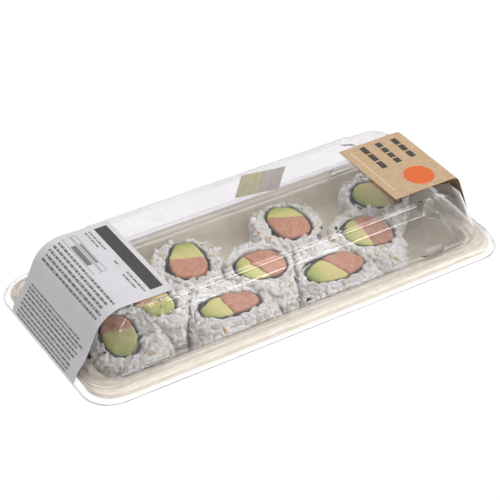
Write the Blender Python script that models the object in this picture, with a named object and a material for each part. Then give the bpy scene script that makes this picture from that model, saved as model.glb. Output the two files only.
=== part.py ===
# A long pulp tray of inside-out sushi rolls under a clear press-on lid, with
# two paper labels on the lid and a small sticker on its back wall.
# Run: blender --background --python part.py

import math
import random

import bmesh
import bpy
from mathutils import Vector

mm = 0.001

# The pulp tray. Half sizes are taken from the middle of the tray.
trayWall = 1.2 * mm
rimHeight = 17.5 * mm
cavityHalfWidth = 38.8 * mm
cavityHalfLength = 100.2 * mm
cavityCorner = 10.0 * mm
wallDraft = math.radians(12)
floorFillet = 8.0 * mm
filletSteps = 3
ledgeStep = 0.7 * mm
ledgeHalfWidth = 41.0 * mm
rimFlatHalfWidth = 44.9 * mm
rimHalfWidth = 46.9 * mm
rimExtraLength = 62.4 * mm
lipDrop = 3.0 * mm
lipRound = 0.4 * mm
lipShoulder = 1.3 * mm

# The thermoformed lid.
sheet = 0.5 * mm
gap = 0.3 * mm
skirtHalfLength = 112.5 * mm
skirtHalfWidth = 50.0 * mm
skirtCorner = 14.0 * mm
skirtDrop = 3.9 * mm
footHalfWidth = 38.9 * mm
footHalfLength = 106.6 * mm
footCorner = 9.8 * mm
lowCreaseHeight = 39.2 * mm
lowCreaseHalfWidth = 35.4 * mm
lowCreaseHalfLength = 98.6 * mm
highCreaseHeight = 45.0 * mm
highCreaseHalfWidth = 32.9 * mm
highCreaseHalfLength = 93.6 * mm
topHeight = 46.0 * mm
topHalfWidth = 31.4 * mm
topHalfLength = 90.4 * mm
topCorner = 9.0 * mm
panelHalfLength = 74.0 * mm
panelRise = 2.2 * mm
lugStart = 71.0 * mm
lugEnd = 77.4 * mm
lugOut = 1.0 * mm
lugUp = 0.6 * mm
notchAt = 69.6 * mm
notchIn = 0.8 * mm
topInset = 1.1 * mm
seamClear = 0.1 * mm

# Paper and sticker.
paper = 0.3 * mm
whiteStart = -61.6 * mm
whiteFront = -28.8 * mm
whiteBack = 30.0 * mm
kraftStart = 61.2 * mm
kraftFront = -24.6 * mm
kraftBack = 21.5 * mm
stickerLength = 26.0 * mm
stickerWidth = 14.0 * mm
stickerMiddle = 26.0 * mm
stickerHeight = 32.0 * mm
stickerTurn = math.radians(-9)

# The rolls stand on the tray floor, cut faces up.
rollRadius = 17.6 * mm
rollFloor = trayWall + gap
rollTop = 20.0 * mm
rollClear = 0.5 * mm
rollSides = 26
grainRelief = 1.2 * mm
grainLength = 6.0 * mm
grainWidth = 2.3 * mm
grainInset = 1.7 * mm
seedLength = 3.2 * mm
seedWidth = 1.9 * mm
grainsPerRoll = 3
seedsPerRoll = 2
noriThickness = 0.7 * mm
noriProud = 0.3 * mm
noriSteps = 16
tailStep = 0.22
tailCover = 2.2 * mm
fillingCover = 3.0 * mm
fillingSquare = 2.3
footRound = 1.4 * mm
crownRound = 0.7 * mm
crownShare = 0.14
spillFrom = 12.0 * mm
spillAtTop = 0.3
cutLow = -5.0 * mm
cutHigh = 40.0 * mm

# Each roll: where it stands, how its filling lies and how it is split.
# turn is the way the filling's long axis points, from the avocado end to the
# salmon end; taper makes the salmon end wider; share is the avocado's part and
# slant turns the join between the two; tail is where the seaweed's end leaves.
# spill holds the ways in which loose rice fills the room beside a roll, each
# with how far it reaches there beyond the round outline.
rolls = [
    dict(name="roll_1", at=(-28.7, 14.2), rise=0.4, shift=(0.6, 1.4), long=13.8, wide=8.6,
         turn=246, taper=0.26, share=0.50, slant=4, tail=150),
    dict(name="roll_2", at=(27.2, 15.0), rise=0.8, shift=(1.6, 0.9), long=13.0, wide=9.4,
         turn=262, taper=0.08, share=0.38, slant=-17, tail=165),
    dict(name="roll_3", at=(79.0, 13.6), rise=0.6, shift=(0.6, -0.6), long=12.0, wide=10.6,
         turn=330, taper=0.04, share=0.62, slant=25, tail=160),
    dict(name="roll_4", at=(-56.0, -0.6), rise=0.0, shift=(-0.6, 0.0), long=12.6, wide=8.2,
         turn=98, taper=0.06, share=0.50, slant=-6, tail=60, spill=[(-92, 16.0)]),
    dict(name="roll_5", at=(-0.6, -4.6), rise=0.2, shift=(0.4, -0.5), long=12.0, wide=9.8,
         turn=352, taper=0.08, share=0.39, slant=16, tail=140, spill=[(-90, 16.0)]),
    dict(name="roll_6", at=(56.8, -8.6), rise=0.3, shift=(1.2, -0.6), long=11.8, wide=11.2,
         turn=350, taper=0.12, share=0.42, slant=2, tail=138, spill=[(-92, 12.0)]),
    dict(name="roll_7", at=(-28.6, -20.2), radius=19.4, rise=-0.4, shift=(0.6, -1.8), long=14.4,
         wide=6.8, turn=354, taper=0.00, share=0.44, slant=4, tail=150,
         spill=[(-138, 7.0), (-45, 7.0)]),
    dict(name="roll_8", at=(28.4, -20.2), radius=19.4, rise=0.0, shift=(0.2, -3.8), long=15.0,
         wide=8.4, turn=4, taper=0.06, share=0.51, slant=12, tail=120,
         spill=[(-137, 7.0), (-42, 7.0)]),
    dict(name="roll_9", at=(-81.6, -15.6), rise=0.6, shift=(-0.8, -0.4), long=14.0, wide=7.8,
         turn=74, taper=0.04, share=0.62, slant=7, tail=330, spill=[(-55, 9.0), (-110, 3.0)]),
]

colours = {
    "pulp": (0.62, 0.53, 0.43), "clear": (0.92, 0.93, 0.95), "white paper": (0.62, 0.62, 0.66),
    "kraft": (0.58, 0.44, 0.28), "film": (0.55, 0.50, 0.34), "rice": (0.72, 0.73, 0.70),
    "nori": (0.035, 0.05, 0.04), "avocado": (0.56, 0.60, 0.20), "salmon": (0.72, 0.30, 0.16),
}


def makeMaterial(name, colour, roughness, alpha=1.0):
    material = bpy.data.materials.new(name)
    material.use_nodes = True
    shader = material.node_tree.nodes["Principled BSDF"]
    shader.inputs["Base Color"].default_value = (*colour, 1.0)
    shader.inputs["Roughness"].default_value = roughness
    shader.inputs["Alpha"].default_value = alpha
    material.diffuse_color = (*colour, alpha)
    return material


def makeObject(name, mesh, material, smoothAngle=None):
    obj = bpy.data.objects.new(name, mesh)
    bpy.context.scene.collection.objects.link(obj)
    mesh.materials.append(material)
    if smoothAngle is not None:
        for polygon in mesh.polygons:
            polygon.use_smooth = True
        mesh.set_sharp_from_angle(angle=smoothAngle)
    return obj


def meshOf(name, points, faces):
    mesh = bpy.data.meshes.new(name)
    form = bmesh.new()
    corners = [form.verts.new(point) for point in points]
    for face in faces:
        form.faces.new([corners[i] for i in face])
    bmesh.ops.recalc_face_normals(form, faces=form.faces)
    if form.calc_volume(signed=True) < 0:
        bmesh.ops.reverse_faces(form, faces=form.faces)
    form.to_mesh(mesh)
    form.free()
    return mesh


def loft(name, rings, turned=()):
    """Closed solid through rings of equal count, flat faces at both ends."""
    count = len(rings[0])
    points = [point for ring in rings for point in ring]
    faces = [list(range(count))]
    for k in range(len(rings) - 1):
        low, high = k * count, (k + 1) * count
        for i in range(count):
            j = (i + 1) % count
            if k in turned:
                faces += [[low + i, low + j, high + i], [low + j, high + j, high + i]]
            else:
                faces += [[low + i, low + j, high + j], [low + i, high + j, high + i]]
    faces.append([(len(rings) - 1) * count + i for i in range(count)])
    return meshOf(name, points, faces)


def roundedRing(halfLength, halfWidth, corner, height, stops, cornerSteps):
    """Points round a rectangle with round corners, from the front's left end."""
    ring = [Vector((x, -halfWidth, height)) for x in stops]

    def arc(centreX, centreY, start):
        for i in range(cornerSteps + 1):
            angle = math.radians(start + 90 * i / cornerSteps)
            ring.append(Vector((centreX + corner * math.cos(angle),
                                centreY + corner * math.sin(angle), height)))

    insideX, insideY = halfLength - corner, halfWidth - corner
    arc(insideX, -insideY, -90)
    ring.append(Vector((halfLength, 0, height)))
    arc(insideX, insideY, 0)
    ring += [Vector((x, halfWidth, height)) for x in reversed(stops)]
    arc(-insideX, insideY, 90)
    ring.append(Vector((-halfLength, 0, height)))
    arc(-insideX, -insideY, 180)
    return ring


def cavityInset(height, thickness):
    """How far a tray surface lies inside the cavity's edge at a height.
    thickness 0 gives the inner surface, the wall thickness the outer one."""
    slope = math.tan(wallDraft)
    fillet = floorFillet + thickness
    floorTop = trayWall - thickness
    centre = floorTop + fillet
    inset = (rimHeight - max(height, centre)) * slope - thickness / math.cos(wallDraft)
    if height < centre:
        drop = centre - height
        inset += fillet - math.sqrt(max(fillet ** 2 - drop ** 2, 0))
    return inset


def buildTray(material):
    stops = [x * mm for x in (-60, -20, 20, 60)]
    steps = 6

    def ring(halfWidth, height, extra, corner):
        return roundedRing(halfWidth + extra, halfWidth, corner, height, stops, steps)

    extra = cavityHalfLength - cavityHalfWidth
    rings = []
    inner, outer = [], []
    for thickness, side in ((trayWall, outer), (0.0, inner)):
        bottom = trayWall - thickness
        fillet = floorFillet + thickness
        heights = [bottom + fillet * (1 - math.cos(math.radians(90 * i / filletSteps)))
                   for i in range(filletSteps + 1)]
        top = rimHeight - (trayWall if thickness else ledgeStep)
        for height in heights + [top]:
            inset = cavityInset(height, thickness)
            corner = max(cavityCorner - inset * 0.4, 4 * mm)
            side.append(ring(cavityHalfWidth - inset, height, extra, corner))
    rings += outer
    # The rim: underside, rolled lip, flat ledge and the step down to the wall.
    grow = rimExtraLength
    rimLevels = [
        (rimFlatHalfWidth - lipRound, rimHeight - trayWall, grow, 1.0 * mm),
        (rimHalfWidth - trayWall, rimHeight - lipDrop, grow, 1.4 * mm),
        (rimHalfWidth, rimHeight - lipDrop, grow, 2.0 * mm),
        (rimHalfWidth - 0.5 * lipRound, rimHeight - lipShoulder, grow, 2.0 * mm),
        (rimFlatHalfWidth + 1.5 * lipRound, rimHeight - 0.6 * lipRound, grow, 1.4 * mm),
        (rimFlatHalfWidth - lipRound, rimHeight, grow, 1.0 * mm),
        (ledgeHalfWidth, rimHeight, extra, 1.0 * mm),
        (ledgeHalfWidth - ledgeStep, rimHeight - ledgeStep, extra, 0.6 * mm),
    ]
    for halfWidth, height, longer, wider in rimLevels:
        rings.append(ring(halfWidth, height, longer, cavityCorner + wider))
    rings += list(reversed(inner))
    makeObject("tray", loft("tray", rings), material, math.radians(40))


def blend(start, end, value):
    share = min(max((value - start) / (end - start), 0.0), 1.0)
    return share * share * (3 - 2 * share)


def lidRing(halfLength, halfWidth, corner, height, level):
    """One ring of the lid. Level 1 is the low crease, 2 the high one, 3 the
    top's edge and 4 the flat inside it."""
    ends = [x * mm for x in (-78.6, 0, 0, 0, -67.8, -34, 0, 34, 67.8, 0, 0, 0, 78.6)]
    ends[1:4] = [-lugEnd, -lugStart, -notchAt]
    ends[9:12] = [notchAt, lugStart, lugEnd]
    ring = roundedRing(halfLength, halfWidth, corner, height, ends, 6)
    if level == 0:
        return ring
    for point in ring:
        along, side = abs(point.x), math.copysign(1, point.y)
        if abs(point.y) < halfWidth - corner - seamClear:
            continue
        point.y -= side * panelRise * (1.0 if level == 1 else 0.6) * blend(
            panelHalfLength, panelHalfLength + 9 * mm, along)
        if level in (2, 3) and lugStart - seamClear < along < lugEnd + seamClear:
            point.y += side * lugOut
            point.z += lugUp if level == 3 else 0.5 * lugUp
        if level in (2, 3) and abs(along - notchAt) < seamClear:
            point.y -= side * notchIn
    return ring


def lidLevels():
    """The lid's outer surface from the skirt's edge to the flat top:
    half length, half width, corner radius, height and kind of level."""
    return [
        (skirtHalfLength, skirtHalfWidth, skirtCorner, rimHeight - skirtDrop, 0),
        (skirtHalfLength - 0.9 * mm, skirtHalfWidth - 0.9 * mm, skirtCorner - 0.6 * mm,
         rimHeight - skirtDrop + 0.6 * mm, 0),
        (skirtHalfLength - 2.2 * mm, skirtHalfWidth - 2.1 * mm, skirtCorner - 1.4 * mm,
         rimHeight + 0.1 * mm, 0),
        (skirtHalfLength - 3.0 * mm, skirtHalfWidth - 2.9 * mm, skirtCorner - 2.0 * mm,
         rimHeight + gap + sheet, 0),
        (footHalfLength, footHalfWidth, footCorner, rimHeight + gap + sheet, 0),
        (footHalfLength - 0.5 * mm, footHalfWidth - 0.5 * mm, footCorner - 0.2 * mm,
         rimHeight + 2.0 * mm, 0),
        (lowCreaseHalfLength, lowCreaseHalfWidth, footCorner - 0.4 * mm, lowCreaseHeight, 1),
        (highCreaseHalfLength, highCreaseHalfWidth, topCorner + 0.2 * mm, highCreaseHeight, 2),
        (topHalfLength, topHalfWidth, topCorner, topHeight, 3),
        (topHalfLength - topInset, topHalfWidth - topInset, topCorner - 0.6 * mm, topHeight, 4),
    ]


def offsetWithin(levels, axis, depth):
    """Moves a profile inward by a sheet's thickness, mitred at its corners."""
    path = [Vector((level[axis], level[3])) for level in levels]
    path.append(path[-1] + Vector((-10 * mm, 0)))
    moved = []
    for i in range(len(levels)):
        normals = []
        if i > 0:
            normals.append(path[i] - path[i - 1])
        normals.append(path[i + 1] - path[i])
        normals = [Vector((-step.y, step.x)).normalized() for step in normals]
        middle = sum(normals, Vector((0, 0))).normalized()
        moved.append(path[i] + middle * depth / max(middle.dot(normals[0]), 0.5))
    return moved


def buildLid(material):
    levels = lidLevels()
    outer = [lidRing(*level) for level in levels]
    widths = offsetWithin(levels, 1, sheet)
    lengths = offsetWithin(levels, 0, sheet)
    inner = []
    for level, width, length in zip(levels, widths, lengths):
        height = width.y if level[4] or level[3] > rimHeight else level[3]
        if level is levels[0]:
            height = level[3]
        corner = level[2] - (level[1] - width.x)
        inner.append(lidRing(length.x, width.x, corner, height, level[4]))
    rings = list(reversed(inner)) + outer
    turned = range(len(inner) - 1)
    makeObject("lid", loft("lid", rings, turned), material, math.radians(25))


def buildSheet(name, path, front, back, material):
    """A strip of paper along a path of (x, z) points, between two y values."""
    lower = [Vector(point) for point in path]
    upper = []
    for i, point in enumerate(lower):
        before = lower[max(i - 1, 0)]
        after = lower[min(i + 1, len(lower) - 1)]
        along = (after - before).normalized()
        normal = Vector((-along.y, along.x))
        if normal.y < 0 and abs(along.x) > abs(along.y):
            normal = -normal
        if abs(along.x) <= abs(along.y):
            normal = normal if normal.x * point.x > 0 else -normal
        upper.append(point + normal * paper)
    outline = lower + list(reversed(upper))
    count = len(outline)
    points = [Vector((p.x, y, p.y)) for y in (front, back) for p in outline]
    faces = []
    for i in range(count):
        j = (i + 1) % count
        faces.append([i, j, count + j, count + i])
    half = len(lower)
    for k in range(half - 1):
        a, b, c, d = k, k + 1, count - 2 - k, count - 1 - k
        faces.append([a, b, c, d])
        faces.append([count + a, count + b, count + c, count + d])
    makeObject(name, meshOf(name, points, faces), material, math.radians(30))


def whitePath():
    """The white label: flat on the lid, a loose bend, then down to the skirt."""
    flat = topHeight + gap
    bendX, bendZ, bendRadius = -86.5 * mm, 31.6 * mm, 15.3 * mm
    path = [(whiteStart, flat), (-70 * mm, flat), (-78 * mm, flat + 0.3 * mm)]
    for angle in range(90, 166, 15):
        turn = math.radians(angle)
        path.append((bendX + bendRadius * math.cos(turn), bendZ + bendRadius * math.sin(turn)))
    path.append((-105.6 * mm, 26.0 * mm))
    path.append((-(skirtHalfLength - 1.8 * mm), rimHeight + 1.3 * mm))
    path.append((-(skirtHalfLength - 0.5 * mm), rimHeight - skirtDrop + 1.0 * mm))
    return path


def kraftPath():
    """The kraft label: flat on the lid, a tight fold, then down the end wall."""
    flat = topHeight + gap
    path = [(kraftStart, flat), (78 * mm, flat), (92 * mm, flat)]
    foldX, foldZ, foldRadius = 95.6 * mm, flat - 3.6 * mm, 3.6 * mm
    for angle in range(90, 15, -18):
        turn = math.radians(angle)
        path.append((foldX + foldRadius * math.cos(turn), foldZ + foldRadius * math.sin(turn)))
    path.append((103.6 * mm, 32.0 * mm))
    path.append((107.6 * mm, rimHeight + 2.6 * mm))
    return path


def buildSticker(material):
    """A plate lying against the outside of the lid's back wall."""
    low = Vector((footHalfWidth - 0.5 * mm, rimHeight + 2.0 * mm))
    high = Vector((lowCreaseHalfWidth, lowCreaseHeight))
    up = (high - low).normalized()
    out = Vector((up.y, -up.x))
    share = (stickerHeight - low.y) / (high.y - low.y)
    centre = low + (high - low) * share
    points = []
    for depth in (gap, gap + paper):
        for a, b in ((-0.5, -0.5), (0.5, -0.5), (0.5, 0.5), (-0.5, 0.5)):
            x = a * stickerLength * math.cos(stickerTurn) - b * stickerWidth * math.sin(stickerTurn)
            s = a * stickerLength * math.sin(stickerTurn) + b * stickerWidth * math.cos(stickerTurn)
            flat = centre + up * s + out * depth
            points.append(Vector((stickerMiddle + x, flat.x, flat.y)))
    faces = [[0, 1, 2, 3], [4, 5, 6, 7], [0, 1, 5, 4], [1, 2, 6, 5], [2, 3, 7, 6], [3, 0, 4, 7]]
    makeObject("back_sticker", meshOf("back_sticker", points, faces), material)


def insideTray(x, y, height):
    """Distance from a point to the cavity's wall, positive inside."""
    inset = cavityInset(min(height, rimHeight), 0.0)
    if height > rimHeight:
        inset = (height - rimHeight) * 0.16 + 0.4 * mm
    halfLength, halfWidth = cavityHalfLength - inset, cavityHalfWidth - inset
    corner = cavityCorner
    outX = max(abs(x) - (halfLength - corner), 0)
    outY = max(abs(y) - (halfWidth - corner), 0)
    return corner - math.hypot(outX, outY) if outX or outY else corner


def rollReach(roll, angle, height):
    """How far a roll reaches in a direction: round, with its spilled rice,
    flattened where it meets its neighbours and where it meets the tray."""
    cx, cy = roll["at"][0] * mm, roll["at"][1] * mm
    reach = roll.get("radius", rollRadius / mm) * mm
    fade = 1 - (1 - spillAtTop) * blend(spillFrom, rollTop, height)
    for way, extra in roll.get("spill", ()):
        reach += extra * mm * fade * max(math.cos(angle - math.radians(way)), 0) ** 4
    for other in rolls:
        if other is roll:
            continue
        dx, dy = other["at"][0] * mm - cx, other["at"][1] * mm - cy
        toward = math.cos(angle - math.atan2(dy, dx))
        if toward > 0.1:
            reach = min(reach, (math.hypot(dx, dy) / 2 - rollClear / 2) / toward)
    while insideTray(cx + reach * math.cos(angle), cy + reach * math.sin(angle), height) < rollClear:
        reach -= 0.1 * mm
    return reach


def leastReach(roll, angle, shares=(0.0, 0.1, 0.3, 0.6, 0.9)):
    """The shortest reach at some shares of a roll's height. The tray narrows
    downward, so a roll beside its wall does too."""
    return min(rollReach(roll, angle, rollFloor + (rollTop - rollFloor) * share) for share in shares)


def fillingOutline(roll):
    """The filling's outline, as flat points about the tray's origin."""
    turn = math.radians(roll["turn"])
    cx = (roll["at"][0] + roll["shift"][0]) * mm
    cy = (roll["at"][1] + roll["shift"][1]) * mm
    outline = []

    def square(value):
        return math.copysign(abs(value) ** (2 / fillingSquare), value)

    for i in range(noriSteps):
        angle = 2 * math.pi * (i + 0.5) / noriSteps
        u = roll["long"] * mm * square(math.cos(angle))
        v = roll["wide"] * mm * square(math.sin(angle)) * (1 + roll["taper"] * math.cos(angle))
        outline.append(Vector((cx + u * math.cos(turn) - v * math.sin(turn),
                               cy + u * math.sin(turn) + v * math.cos(turn))))
    return outline


def prism(name, outline, low, high):
    """A closed upright solid over an outline of flat points."""
    count = len(outline)
    points = [Vector((p.x, p.y, z)) for z in (low, high) for p in outline]
    faces = [list(range(count)), [count + i for i in range(count)]]
    faces += [[i, (i + 1) % count, count + (i + 1) % count, count + i] for i in range(count)]
    return meshOf(name, points, faces)


def fitInRoll(roll, point, margin, shares):
    """Draws a point back toward the roll's middle until it lies in the rice."""
    cx, cy = roll["at"][0] * mm, roll["at"][1] * mm
    dx, dy = point.x - cx, point.y - cy
    length = math.hypot(dx, dy)
    angle = math.atan2(dy, dx)
    limit = leastReach(roll, angle, shares) - margin
    if length > limit:
        return Vector((cx + limit * math.cos(angle), cy + limit * math.sin(angle)))
    return point


def noriLoop(roll, grow, height):
    """The filling's outline inside its roll at a height, moved outward by a
    distance. Near the tray's wall the filling leans with the wall."""
    foot, head = [[fitInRoll(roll, p, fillingCover, shares) for p in fillingOutline(roll)]
                  for shares in ((0.0, 0.1), (0.9, 1.0))]
    share = (height - rollFloor) / (rollHeight(roll) + noriProud - rollFloor)
    share = min(max(share, 0.0), 1.0)
    outline = [low.lerp(high, share) for low, high in zip(foot, head)]
    moved = []
    for i, here in enumerate(outline):
        before = (here - outline[i - 1]).normalized()
        after = (outline[(i + 1) % len(outline)] - here).normalized()
        along = (before + after).normalized()
        out = Vector((along.y, -along.x))
        moved.append(here + out * grow / max(along.dot(after), 0.6))
    return moved


def noriTail(roll):
    """The loose end of the seaweed, leaving the loop and curving into the rice."""
    base = math.radians(roll["tail"])
    middle = Vector((roll["at"][0] * mm, roll["at"][1] * mm))
    loop = noriLoop(roll, gap + 0.5 * noriThickness, rollHeight(roll))

    def nearest(angle):
        toward = Vector((math.cos(angle), math.sin(angle)))
        return max(loop, key=lambda p: (p - middle).normalized().dot(toward))

    start = nearest(base)
    base = math.atan2(start.y - middle.y, start.x - middle.x)
    startRadius = (start - middle).length
    path = [start]
    for i in range(1, 5):
        angle = base + tailStep * i
        far = leastReach(roll, angle) - tailCover
        clearOfLoop = (nearest(angle) - middle).length + 1.8 * noriThickness
        if far < clearOfLoop:
            break
        radius = startRadius + max(far - startRadius, 0.0) * min(0.34 * i, 1.0)
        radius = min(max(radius, clearOfLoop), far)
        path.append(middle + Vector((math.cos(angle), math.sin(angle))) * radius)
    return path


def thicken(path, half):
    """The outline of a strip along a path."""
    left, right = [], []
    for i, point in enumerate(path):
        along = (path[min(i + 1, len(path) - 1)] - path[max(i - 1, 0)]).normalized()
        side = Vector((-along.y, along.x)) * half
        left.append(point + side)
        right.append(point - side)
    return left + list(reversed(right))


def rollHeight(roll):
    return rollTop + roll["rise"] * mm


def riceBody(roll, rng):
    """The lumpy outer body, before the filling's hole is cut."""
    cx, cy = roll["at"][0] * mm, roll["at"][1] * mm
    top = rollHeight(roll)
    floor = rollFloor
    low, high = floor + footRound, top - footRound
    layers = 4
    heights = [floor] + [low + (high - low) * k / layers for k in range(layers + 1)]
    rings = []
    for k, height in enumerate(heights):
        ring = []
        for i in range(rollSides):
            angle = 2 * math.pi * (i + 0.5 * (k % 2)) / rollSides
            reach = rollReach(roll, angle, height) - rng.random() * grainRelief
            if k == 0:
                reach -= 0.7 * footRound
            ring.append(Vector((cx + reach * math.cos(angle), cy + reach * math.sin(angle), height)))
        rings.append(ring)
    for share, drop in ((0.90, 0.0), (0.62, 0.2 * mm)):
        ring = []
        for i in range(rollSides):
            angle = 2 * math.pi * (i + 0.5 * (len(rings) % 2)) / rollSides
            reach = (rollReach(roll, angle, top) - 0.5 * grainRelief) * share
            rise = (rng.random() - 0.7) * grainRelief
            ring.append(Vector((cx + reach * math.cos(angle), cy + reach * math.sin(angle),
                                top + rise - drop)))
        rings.append(ring)
    return loft(roll["name"] + "_rice", rings)


def looseGrain(name, place, length, width, angle, tilt):
    """A grain or seed: a pointed oval with six sides."""
    sides, points = 6, []
    ringShares = ((-0.5, 0.0), (-0.25, 0.85), (0.2, 1.0), (0.5, 0.0))
    for along, share in ringShares:
        if share == 0.0:
            points.append(Vector((along * length, 0, 0)))
            continue
        for i in range(sides):
            turn = 2 * math.pi * i / sides
            points.append(Vector((along * length, 0.5 * width * share * math.cos(turn),
                                  0.4 * width * share * math.sin(turn))))
    faces = []
    last = len(points) - 1
    for i in range(sides):
        j = (i + 1) % sides
        faces.append([0, 1 + i, 1 + j])
        faces.append([1 + i, 1 + j, 1 + sides + j, 1 + sides + i])
        faces.append([last, 1 + sides + i, 1 + sides + j])
    placed = []
    for p in points:
        x, z = p.x * math.cos(tilt) - p.z * math.sin(tilt), p.x * math.sin(tilt) + p.z * math.cos(tilt)
        placed.append(place + Vector((x * math.cos(angle) - p.y * math.sin(angle),
                                      x * math.sin(angle) + p.y * math.cos(angle), z)))
    return meshOf(name, placed, faces)


def applyModifiers(obj):
    """Keeps the evaluated mesh and drops the modifiers."""
    bpy.context.view_layer.update()
    graph = bpy.context.evaluated_depsgraph_get()
    mesh = bpy.data.meshes.new_from_object(obj.evaluated_get(graph))
    obj.modifiers.clear()
    obj.data = mesh


def dropScraps(obj):
    """Keeps the largest connected body of a mesh."""
    form = bmesh.new()
    form.from_mesh(obj.data)
    left, bodies = set(form.verts), []
    while left:
        body, front = set(), [left.pop()]
        while front:
            corner = front.pop()
            body.add(corner)
            for edge in corner.link_edges:
                other = edge.other_vert(corner)
                if other in left:
                    left.remove(other)
                    front.append(other)
        bodies.append(body)
    bodies.sort(key=len)
    for body in bodies[:-1]:
        bmesh.ops.delete(form, geom=list(body), context="VERTS")
    form.to_mesh(obj.data)
    form.free()


def linkHelper(collection, name, mesh):
    helper = bpy.data.objects.new(name, mesh)
    collection.objects.link(helper)
    helper.hide_render = True
    helper.display_type = "WIRE"
    return helper


def buildRoll(roll, materials):
    rng = random.Random(roll["name"])
    name = roll["name"]
    cx, cy = roll["at"][0] * mm, roll["at"][1] * mm
    top = rollHeight(roll)
    rice = makeObject(name + "_rice", riceBody(roll, rng), materials["rice"])

    # The hole for the filling and the slot for the seaweed's loose end.
    holes = bpy.data.collections.new(name + "_holes")
    loose = bpy.data.collections.new(name + "_grains")
    for group in (holes, loose):
        bpy.context.scene.collection.children.link(group)
    room = gap + noriThickness + gap
    hole = [[Vector((*point, height)) for point in noriLoop(roll, room, height)]
            for height in (cutLow, rollFloor, top + noriProud, cutHigh)]
    linkHelper(holes, "hole", loft("hole", hole))
    tail = noriTail(roll)
    slot = [tail[0] + (tail[0] - tail[1]).normalized() * 1.2 * gap] + tail
    slot.append(tail[-1] + (tail[-1] - tail[-2]).normalized() * 1.2 * gap)
    linkHelper(holes, "slot", prism("slot", thicken(slot, 0.5 * noriThickness + gap),
                                    cutLow - seamClear, cutHigh + seamClear))

    # Grains and sesame seeds that stand out of the top's edge.
    for i in range(grainsPerRoll + seedsPerRoll):
        seed = i >= grainsPerRoll
        angle = 2 * math.pi * (i + 0.3 * rng.random()) / (grainsPerRoll + seedsPerRoll)
        reach = min(rollReach(roll, angle + side, top) for side in (-0.18, 0.0, 0.18)) - grainInset
        place = Vector((cx + reach * math.cos(angle), cy + reach * math.sin(angle), top - 0.3 * mm))
        mouth = noriLoop(roll, room, top)
        edge = mouth + [a.lerp(b, 0.5) for a, b in zip(mouth, mouth[1:] + mouth[:1])]
        if min((place.to_2d() - point).length for point in edge) < grainWidth:
            continue
        if min((place.to_2d() - point).length for point in slot) < 0.7 * grainLength:
            continue
        length, width = (seedLength, seedWidth) if seed else (grainLength, grainWidth)
        tilt = 0.3 * (rng.random() - 0.5)
        grain = looseGrain("grain", place, length, width, angle + math.pi / 2, tilt)
        linkHelper(loose, "grain", grain)

    cut = rice.modifiers.new("hole", "BOOLEAN")
    cut.operation, cut.solver = "DIFFERENCE", "EXACT"
    cut.operand_type, cut.collection = "COLLECTION", holes
    fuse = rice.modifiers.new("grains", "BOOLEAN")
    fuse.operation, fuse.solver = "UNION", "MANIFOLD"
    fuse.operand_type, fuse.collection = "COLLECTION", loose
    applyModifiers(rice)
    dropScraps(rice)
    for group in (holes, loose):
        for helper in list(group.objects):
            bpy.data.objects.remove(helper)
        bpy.data.collections.remove(group)

    # The seaweed: a loop round the filling that opens into the loose end.
    ends = [[Vector((*point, height)) for grow in (gap + noriThickness, gap)
             for point in noriLoop(roll, grow, height)] for height in (rollFloor, top + noriProud)]
    nori = bridgeTube(name + "_nori", *ends)
    noriObject = makeObject(name + "_nori", nori, materials["nori"])
    tailHelper = bpy.data.collections.new(name + "_tail")
    bpy.context.scene.collection.children.link(tailHelper)
    linkHelper(tailHelper, "tail", prism("tail", thicken(tail, 0.5 * noriThickness),
                                         rollFloor + seamClear, top + noriProud - seamClear))
    join = noriObject.modifiers.new("tail", "BOOLEAN")
    join.operation, join.solver = "UNION", "EXACT"
    join.operand_type, join.collection = "COLLECTION", tailHelper
    applyModifiers(noriObject)
    for helper in list(tailHelper.objects):
        bpy.data.objects.remove(helper)
    bpy.data.collections.remove(tailHelper)

    # The filling: avocado and salmon side by side, with a fine gap.
    buildFilling(roll, top, materials)


def bridgeTube(name, low, high):
    """A closed upright wall. Each end is the points of its outer outline, then
    those of its inner one."""
    count = len(low) // 2
    faces = []
    for i in range(count):
        j = (i + 1) % count
        for a, b in ((i, j), (count + i, count + j)):
            faces += [[a, b, 2 * count + b], [a, 2 * count + b, 2 * count + a]]
        faces.append([i, j, count + j, count + i])
        faces.append([2 * count + i, 2 * count + j, 3 * count + j, 3 * count + i])
    return meshOf(name, low + high, faces)


def buildFilling(roll, top, materials):
    centre = Vector((roll["at"][0] + roll["shift"][0], roll["at"][1] + roll["shift"][1], 0)) * mm
    turn = math.radians(roll["turn"])
    centre += Vector((math.cos(turn), math.sin(turn), 0)) * roll["long"] * mm * (2 * roll["share"] - 1)
    turn += math.radians(roll["slant"])
    across = Vector((math.cos(turn), math.sin(turn), 0))
    for kind, keep, proud in (("avocado", -1, 0.1 * mm), ("salmon", 1, 0.5 * mm)):
        name = "%s_%s" % (roll["name"], kind)
        crown = top + proud
        rings = [[Vector((*point, height)) for point in noriLoop(roll, 0.0, height)]
                 for height in (rollFloor, crown - crownRound)]
        middle = sum(rings[1], Vector()) / noriSteps
        rings.append([Vector((*point.lerp(middle, crownShare).to_2d(), crown)) for point in rings[1]])
        form = bmesh.new()
        form.from_mesh(loft(name, rings))
        bmesh.ops.bisect_plane(form, geom=form.verts[:] + form.edges[:] + form.faces[:],
                               plane_co=centre + across * keep * 0.5 * gap, plane_no=across * keep,
                               clear_inner=True)
        bmesh.ops.holes_fill(form, edges=[edge for edge in form.edges if edge.is_boundary])
        bmesh.ops.recalc_face_normals(form, faces=form.faces)
        half = bpy.data.meshes.new(name)
        form.to_mesh(half)
        form.free()
        makeObject(name, half, materials[kind])


for old in list(bpy.data.objects):
    bpy.data.objects.remove(old)

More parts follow.
